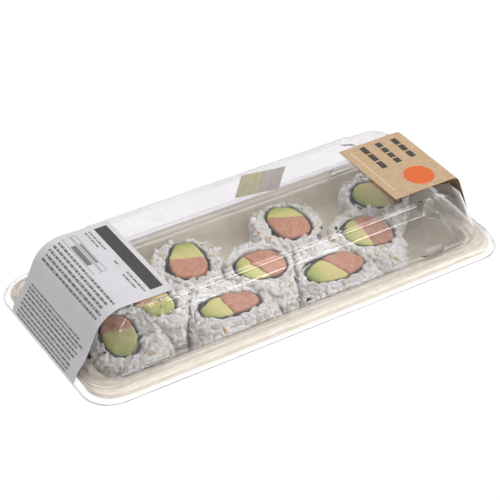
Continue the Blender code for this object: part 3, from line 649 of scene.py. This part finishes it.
def printBars(name, corners, bars, material):
    # Thin plates of ink on a label. A bar is (start, end, front, back): its
    # place along the label from the cut edge, and its place across, in mm.
    path = evenPath(corners, 1.0 * mm)
    normals = pathNormals(path)
    lengths = np.cumsum([0.0] + [(b - a).length for a, b in zip(path, path[1:])])
    points, faces = [], []
    for start, end, front, back in bars:
        base = len(points)
        for lift in inkHeights:
            for s in (start, end):
                for y in (front, back):
                    points.append(surfacePoint(path, normals, lengths, s * mm, y * mm, lift))
        for quad in ((0, 1, 3, 2), (4, 6, 7, 5), (0, 4, 5, 1), (2, 3, 7, 6), (0, 2, 6, 4), (1, 5, 7, 3)):
            faces.append(tuple(base + q for q in quad))
    addPiece(name, meshFrom(name, points, faces), material, smoothAngle=30)


def wordRow(rng, start, thick, front, back, shortest=0.9, longest=3.6, space=0.55):
    # A row of dashes, as print looks from afar.
    bars, y = [], front
    while y < back - shortest:
        long = min(rng.uniform(shortest, longest), back - y)
        bars.append((start, start + thick, y, y + long))
        y += long + space
    return bars


buildLabel("white_label_sheet", whiteCorners(), labelShape["whiteFront"], labelShape["whiteBack"],
           thermal, "white_label", True)
buildLabel("kraft_label_sheet", kraftCorners(), labelShape["kraftFront"], labelShape["kraftBack"],
           kraft, "kraft_label", False)

# Where the print lies, in mm: first along a label from its cut edge, then across it.
whitePrint = {
    "bar": (2.7, 9.1, -24.3, 27.1), "back": 26.0,
    "shortRows": [(11.4, 11.0, 27.0), (13.4, 14.0, 27.0), (12.0, -1.4, 2.6), (11.2, -24.0, -8.0),
                  (13.6, -20.0, -8.0)],
    "shortThick": 0.9,
    # Blocks of rows: the first row, their pitch, how many, how thick, where they
    # start across and how much that varies.
    "blocks": [(27.0, 2.5, 5, 1.15, -26.0, 5), (50.6, 2.05, 9, 0.95, -25.0, 6)],
    "boxes": [(18.6, 21.0), (21.4, 25.4)], "boxAcross": (-2.9, 26.9), "boxLine": 0.25,
    "fillInset": 0.7, "fillAcross": (4.0, 20.0),
}
kraftPrint = {
    # Rows of blocks: where along, where across and how many blocks.
    "rows": [(9.9, -1.0, 20.0, 3), (18.7, -0.4, 19.4, 4), (27.5, 0.0, 18.6, 3)],
    "rowThick": 3.2, "rowGap": 1.0,
    "line": (3.8, 0.7, -18.0, 18.0), "lineDashes": (0.6, 1.8, 0.7),
    "discAt": (82.9 * mm, -13.9 * mm), "discRadius": 7.5 * mm, "discSides": 64,
}
printRng = random.Random(7)


def printWhiteLabel():
    w = whitePrint
    printBars("white_label_bar", whiteCorners(), [w["bar"]], blackInk)
    rows = []
    for start, front, back in w["shortRows"]:
        rows += wordRow(printRng, start, w["shortThick"], front, back)
    for first, pitch, count, thick, front, vary in w["blocks"]:
        for row in range(count):
            begin = front + printRng.uniform(0, vary)
            rows += wordRow(printRng, first + pitch * row, thick, begin, w["back"])
    printBars("white_label_text", whiteCorners(), rows, textInk)

    boxes = []
    line, (front, back) = w["boxLine"], w["boxAcross"]
    for start, end in w["boxes"]:
        inner = (start + line, end - line)
        boxes += [(start, inner[0], front, back), (inner[1], end, front, back),
                  (*inner, front, front + line), (*inner, back - line, back),
                  (start + w["fillInset"], end - w["fillInset"], *w["fillAcross"])]
    printBars("white_label_boxes", whiteCorners(), boxes, textInk)


def printKraftLabel():
    k = kraftPrint
    blocks = []
    for start, front, back, count in k["rows"]:
        pitch = (back - front) / count
        blocks += [(start, start + k["rowThick"], front + i * pitch, front + (i + 1) * pitch - k["rowGap"])
                   for i in range(count)]
    printBars("kraft_label_rows", kraftCorners(), blocks, darkInk)
    printBars("kraft_label_line", kraftCorners(), wordRow(printRng, *k["line"], *k["lineDashes"]), paleInk)

    rings = []
    for height in inkHeights:
        rings.append([(k["discAt"][0] + k["discRadius"] * math.cos(2 * math.pi * i / k["discSides"]),
                       k["discAt"][1] + k["discRadius"] * math.sin(2 * math.pi * i / k["discSides"]),
                       labelShape["flat"] + height) for i in range(k["discSides"])])
    addPiece("kraft_label_disc", loftRings("kraft_label_disc", rings), orangeInk, smoothAngle=30)


printWhiteLabel()
printKraftLabel()

nodes["back_sticker"].data.materials.clear()
nodes["back_sticker"].data.materials.append(film)


print("stage: food")

foodLook = {
    "riceVoxel": 0.7 * mm, "riceShrink": 0.35 * mm, "riceLumps": 0.5 * mm, "lumpsPerMetre": 330,
    "coreShade": (0.35, 0.4), "shadesPerMetre": 500,
    "grain": (5.0 * mm, 2.7 * mm, 2.2 * mm), "spacing": 2.0 * mm, "rise": -0.15 * mm,
    "spread": 0.18, "tilt": 0.48, "bend": 0.20, "swing": 0.55,
    # A cut faces up at least this much, and a side at most. Grains keep off the
    # underside, the filling's wall and the foot.
    "upward": 0.55, "downward": -0.5, "outward": 0.35, "footRoom": 1.5 * mm,
    # Room between a grain's middle and the filling, and how near it follows its edge.
    "clear": 1.0 * mm, "near": 3.4 * mm,
    # Sesame seeds of a kind on each roll's side and on its cut.
    "tanSeed": (2.8 * mm, 1.7 * mm, 0.9 * mm), "tanCounts": (13, 3),
    "blackSeed": (2.5 * mm, 1.4 * mm, 0.8 * mm), "blackCounts": (4, 1),
    "seedSpacing": 3.0 * mm, "seedRise": 0.95 * mm, "seedTilt": 0.15,
    "fillingVoxel": 0.55 * mm, "fillingLumps": 0.5 * mm, "fillingLumpsPerMetre": 230,
    "joinReach": 0.25 * mm, "joinZone": (0.8, 1.0), "fatScale": 0.35,
    "noriRise": -0.35 * mm, "noriWave": 1.1 * mm, "wavesPerMetre": 170,
}


def copyNode(node, name):
    mesh = nodes[node].data.copy()
    mesh.name = name
    return mesh


def remeshed(mesh, name, material, voxel, replaced, smoothing):
    piece = addPiece(name, mesh, material, replaced, None)
    grid = piece.modifiers.new("grid", "REMESH")
    grid.mode, grid.voxel_size = "VOXEL", voxel
    soften = piece.modifiers.new("soften", "SMOOTH")
    soften.factor, soften.iterations = 0.5, smoothing
    applyModifiers(piece)
    piece.data.shade_smooth()
    return piece


def pushByNoise(mesh, amount, scale, shift=0.0):
    normals = [corner.normal.copy() for corner in mesh.vertices]
    moved = [corner.co + normal * (noise.noise(corner.co * scale) * amount + shift)
             for corner, normal in zip(mesh.vertices, normals)]
    mesh.vertices.foreach_set("co", np.array(moved, np.float32).ravel())
    mesh.update()


def writeShade(mesh, values):
    held = mesh.attributes.new("shade", "FLOAT", "POINT")
    held.data.foreach_set("value", np.asarray(values, np.float32))


# Places along a grain and how thick it is there, as shares.
grainRings = ((-0.47, 0.46), (-0.33, 0.82), (0.0, 1.0), (0.32, 0.86), (0.46, 0.5))
grainSides = 7


def grainForm(length, width, height, bend):
    # A grain with blunt ends, a little bent, as points in rings along it.
    points = [(-0.5 * length, 0, 0)]
    for along, share in grainRings:
        for k in range(grainSides):
            turn = 2 * math.pi * k / grainSides
            points.append((along * length, 0.5 * width * share * math.cos(turn),
                           0.5 * height * share * math.sin(turn)))
    points.append((0.5 * length, 0, 0))
    points = np.array(points)
    points[:, 1] += bend * (points[:, 0] / length) ** 2 * width
    return points


def grainFaces():
    last = 1 + len(grainRings) * grainSides
    faces = []
    for k in range(grainSides):
        j = (k + 1) % grainSides
        faces.append((0, 1 + j, 1 + k))
        top = 1 + (len(grainRings) - 1) * grainSides
        faces.append((last, top + k, top + j))
        for ring in range(len(grainRings) - 1):
            a = 1 + ring * grainSides
            faces.append((a + k, a + j, a + grainSides + j))
            faces.append((a + k, a + grainSides + j, a + grainSides + k))
    return np.array(faces)


def scatterMesh(name, found, size, rng, rise, tilt):
    # One mesh of all the grains: each place is a point, its outward normal and
    # the way that the grain lies, if that is known.
    faces, f = grainFaces(), foodLook
    allPoints, allFaces, shades = [], [], []
    for place, normal, way in found:
        long = size[0] * (1 + f["spread"] * rng.uniform(-1, 1))
        wide = size[1] * (1 + f["spread"] * rng.uniform(-1, 1))
        form = grainForm(long, wide, size[2], rng.uniform(-f["bend"], f["bend"]))
        lean = (normal + Vector([rng.uniform(-tilt, tilt) for _ in range(3)])).normalized()
        side = (way - lean * way.dot(lean)).normalized() if way else lean.orthogonal().normalized()
        swing = f["swing"] if way else math.pi
        side.rotate(Matrix.Rotation(rng.uniform(-swing, swing), 3, lean))
        basis = np.array([side, lean.cross(side), lean])
        allFaces.append(faces + len(allPoints) * len(form))
        allPoints.append(form @ basis + np.array(place + normal * rise))
        shades.append(np.full(len(form), rng.random()))
    mesh = bpy.data.meshes.new(name)
    points = np.concatenate(allPoints)
    mesh.from_pydata(points.tolist(), [], np.concatenate(allFaces).tolist())
    writeShade(mesh, np.concatenate(shades))
    return mesh


def surfacePlaces(mesh, rng, spacing, accept, wayOf=None):
    # Random points on a mesh, no two nearer than the spacing.
    mesh.calc_loop_triangles()
    corners = [v.co.copy() for v in mesh.vertices]
    triangles = [(*[corners[i] for i in t.vertices], t.normal.copy(), t.area) for t in mesh.loop_triangles]
    total = sum(t[4] for t in triangles)
    tries = int(total / spacing ** 2 * 5)
    chosen = rng.choices(triangles, weights=[t[4] for t in triangles], k=tries)
    taken, kept = {}, []
    for a, b, c, normal, _ in chosen:
        u, v = rng.random(), rng.random()
        if u + v > 1:
            u, v = 1 - u, 1 - v
        point = a + (b - a) * u + (c - a) * v
        if not accept(point, normal):
            continue
        cell = tuple(int(math.floor(value / spacing)) for value in point)
        near = [p for dx in (-1, 0, 1) for dy in (-1, 0, 1) for dz in (-1, 0, 1)
                for p in taken.get((cell[0] + dx, cell[1] + dy, cell[2] + dz), ())]
        if any((p - point).length < spacing for p in near):
            continue
        taken.setdefault(cell, []).append(point)
        kept.append((point, normal, wayOf(point, normal) if wayOf else None))
    return kept


def treeOf(*names):
    form = bmesh.new()
    for name in names:
        form.from_mesh(nodes[name].data)
    tree = BVHTree.FromBMesh(form)
    form.free()
    return tree


def placeAlong(piece, rollName, kind):
    # Stores each point's place in the filling: for the avocado 0 at the skin and
    # 1 at the join, for the salmon a place for the lines of fat. The flesh
    # swells a little at the join, so that the two halves meet.
    def middleOf(part):
        low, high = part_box("%s_%s" % (rollName, part))
        return (low + high) / 2

    other = "salmon" if kind == "avocado" else "avocado"
    here, there = middleOf(kind), middleOf(other)
    along = Vector((there.x - here.x, there.y - here.y, 0)).normalized()
    across = Vector((-along.y, along.x, 0))
    points = [v.co.copy() for v in piece.data.vertices]
    reach = [(p - here).dot(along) for p in points]
    low, high = min(reach), max(reach)
    held = piece.data.attributes.new("cut", "FLOAT_VECTOR", "POINT")
    for corner, item, p, value in zip(piece.data.vertices, held.data, points, reach):
        share = (value - low) / (high - low)
        corner.co = p + along * smoothStep(*foodLook["joinZone"], share) * foodLook["joinReach"]
        if kind == "avocado":
            item.vector = (share, 0, 0)
        else:
            place = Vector(((p - here).dot(along), (p - here).dot(across), p.z))
            item.vector = place / mm * foodLook["fatScale"]


def dressRice(rollName, rng):
    # The rice body with rounder lumps, and the places for grains and seeds on it.
    f = foodLook
    low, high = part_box(rollName + "_rice")
    centre = (low + high) / 2
    core = remeshed(copyNode(rollName + "_rice", rollName + "_rice_core"), rollName + "_rice_core", rice,
                    f["riceVoxel"], [rollName + "_rice"], 2)
    pushByNoise(core.data, f["riceLumps"], f["lumpsPerMetre"], -f["riceShrink"])
    middle, swing = f["coreShade"]
    tones = [noise.noise(corner.co * f["shadesPerMetre"]) for corner in core.data.vertices]
    writeShade(core.data, [middle + swing * tone for tone in tones])
    inner = treeOf(rollName + "_nori", rollName + "_avocado", rollName + "_salmon")

    def onTop(point, normal):
        return normal.z > f["upward"] and inner.find_nearest(point)[3] > f["clear"]

    def onSide(point, normal):
        away = Vector((point.x - centre.x, point.y - centre.y, 0)).normalized()
        return (f["downward"] < normal.z <= f["upward"] and normal.dot(away) > f["outward"]
                and point.z > low.z + f["footRoom"] and inner.find_nearest(point)[3] > f["clear"])

    def roundFilling(point, normal):
        # Grains beside the filling lie along its edge.
        nearest = inner.find_nearest(point)
        return normal.cross(nearest[0] - point) if nearest[3] < f["near"] else None

    places["rice_on_cuts"] += surfacePlaces(core.data, rng, f["spacing"], onTop, roundFilling)
    places["rice_on_sides"] += surfacePlaces(core.data, rng, f["spacing"], onSide)
    for name, counts in (("tan_sesame", f["tanCounts"]), ("black_sesame", f["blackCounts"])):
        for accept, count in zip((onSide, onTop), counts):
            places[name] += rng.sample(surfacePlaces(core.data, rng, f["seedSpacing"], accept), count)


def dressFilling(rollName, kind, material):
    name = "%s_%s" % (rollName, kind)
    flesh = remeshed(copyNode(name, name + "_flesh"), name + "_flesh", material,
                     foodLook["fillingVoxel"], [name], 5)
    pushByNoise(flesh.data, foodLook["fillingLumps"], foodLook["fillingLumpsPerMetre"])
    placeAlong(flesh, rollName, kind)


def dressSeaweed(rollName):
    # The seaweed with round bends and an upper edge that dips in soft waves.
    mesh = copyNode(rollName + "_nori", rollName + "_nori_sheet")
    form = bmesh.new()
    form.from_mesh(mesh)
    bmesh.ops.remove_doubles(form, verts=form.verts, dist=0.001 * mm)
    bmesh.ops.join_triangles(form, faces=form.faces, angle_face_threshold=math.radians(1),
                             angle_shape_threshold=math.pi)
    form.to_mesh(mesh)
    form.free()
    sheet = addPiece(rollName + "_nori_sheet", mesh, seaweed, [rollName + "_nori"], None)
    curve = sheet.modifiers.new("curve", "SUBSURF")
    curve.levels = curve.render_levels = 2
    applyModifiers(sheet)
    low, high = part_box(rollName + "_rice")
    for corner in sheet.data.vertices:
        if corner.co.z > (low.z + high.z) / 2:
            wave = noise.noise(corner.co * foodLook["wavesPerMetre"]) * foodLook["noriWave"]
            corner.co.z += wave + foodLook["noriRise"]
    sheet.data.shade_smooth()


places = {"rice_on_cuts": [], "rice_on_sides": [], "tan_sesame": [], "black_sesame": []}
for rollName in rollNames:
    dressRice(rollName, random.Random(rollName))
    dressFilling(rollName, "avocado", avocado)
    dressFilling(rollName, "salmon", salmon)
    dressSeaweed(rollName)

scatterRng = random.Random(11)
grainSet = (foodLook["grain"], foodLook["rise"], foodLook["tilt"], rice, "rice")
seedSet = (foodLook["seedRise"], foodLook["seedTilt"])
for name, size, rise, tilt, material, slot in (
        ("rice_on_cuts", *grainSet), ("rice_on_sides", *grainSet),
        ("tan_sesame", foodLook["tanSeed"], *seedSet, tanSesame, None),
        ("black_sesame", foodLook["blackSeed"], *seedSet, blackSesame, None)):
    scattered = scatterMesh(name, places[name], size, scatterRng, rise, tilt)
    addPiece(name, scattered, material, smoothAngle=None)
print("grains:", len(places["rice_on_cuts"]), "on cuts,", len(places["rice_on_sides"]), "on sides")


print("stage: floor, light and camera")

# Light is given as the brightness that a white card would have in front of it.
studio = {
    "floorSize": 3.0, "floorGlow": 0.97, "world": 0.60,
    "lamps": [
        # name, place, where it points, size across and up, brightness
        ("overhead softbox", (0.15, 0.05, 1.2), (0.0, 0.0, 0.0), (1.4, 1.4), 2.1),
        ("upper front softbox", (0.65, -0.95, 0.85), (0.0, 0.0, 0.02), (1.0, 0.35), 8.0),
        ("front softbox", (0.62, -1.25, 0.22), (0.0, 0.0, 0.03), (0.9, 0.25), 1.2),
        ("low strip light", (0.60, -1.30, 0.045), (0.0, 0.0, 0.042), (1.4, 0.06), 9.0),
    ],
}

# White studio board, matt, lit through from behind so that it stays white.
board = nearlyEven("white studio board", 0.9, 25.0 * mm, "383838", "3e3e3e")
boardFinish = board.node_tree.nodes["Principled BSDF"].inputs
boardFinish["Emission Color"].default_value = (1, 1, 1, 1)
boardFinish["Emission Strength"].default_value = studio["floorGlow"]
half = studio["floorSize"] / 2
floorCorners = [(-half, -half, 0), (half, -half, 0), (half, half, 0), (-half, half, 0)]
floorMesh = meshFrom("floor", floorCorners, [(0, 1, 2, 3)])
floor = bpy.data.objects.new("floor", floorMesh)
bpy.context.scene.collection.objects.link(floor)
floor.location.z = -0.2 * mm
floorMesh.materials.append(board)

world = bpy.data.worlds.new("studio")
bpy.context.scene.world = world
world.use_nodes = True
world.node_tree.nodes["Background"].inputs["Color"].default_value = (1.0, 1.0, 1.0, 1.0)
world.node_tree.nodes["Background"].inputs["Strength"].default_value = studio["world"]


def addLamp(name, place, target, size, brightness):
    lamp = bpy.data.lights.new(name, "AREA")
    lamp.shape, lamp.size, lamp.size_y = "RECTANGLE", size[0], size[1]
    lamp.energy = brightness * math.pi * size[0] * size[1]
    holder = bpy.data.objects.new(name, lamp)
    bpy.context.scene.collection.objects.link(holder)
    holder.location = place
    holder.rotation_euler = (Vector(target) - Vector(place)).to_track_quat("-Z", "Y").to_euler()


for lamp in studio["lamps"]:
    addLamp(*lamp)
bpy.context.scene.view_settings.view_transform = "Standard"

# The photograph's camera: heading from +Y toward +X, tilt down and roll.
shot = {
    "place": (-0.359197, -0.535919, 0.513770), "heading": math.radians(33.586),
    "tilt": math.radians(37.163), "roll": math.radians(1.572), "lens": 124.378, "sensor": 36.0,
}


def addCamera():
    forward = Vector((math.sin(shot["heading"]) * math.cos(shot["tilt"]),
                      math.cos(shot["heading"]) * math.cos(shot["tilt"]), -math.sin(shot["tilt"])))
    level = forward.cross(Vector((0, 0, 1))).normalized()
    above = level.cross(forward)
    right = level * math.cos(shot["roll"]) + above * math.sin(shot["roll"])
    up = above * math.cos(shot["roll"]) - level * math.sin(shot["roll"])
    data = bpy.data.cameras.new("camera")
    data.lens, data.sensor_width = shot["lens"], shot["sensor"]
    data.clip_start, data.clip_end = 0.01, 20.0
    camera = bpy.data.objects.new("camera", data)
    bpy.context.scene.collection.objects.link(camera)
    turn = Matrix((right, up, -forward)).transposed()
    camera.matrix_world = Matrix.Translation(shot["place"]) @ turn.to_4x4()
    bpy.context.scene.camera = camera


addCamera()

print("stage: done")
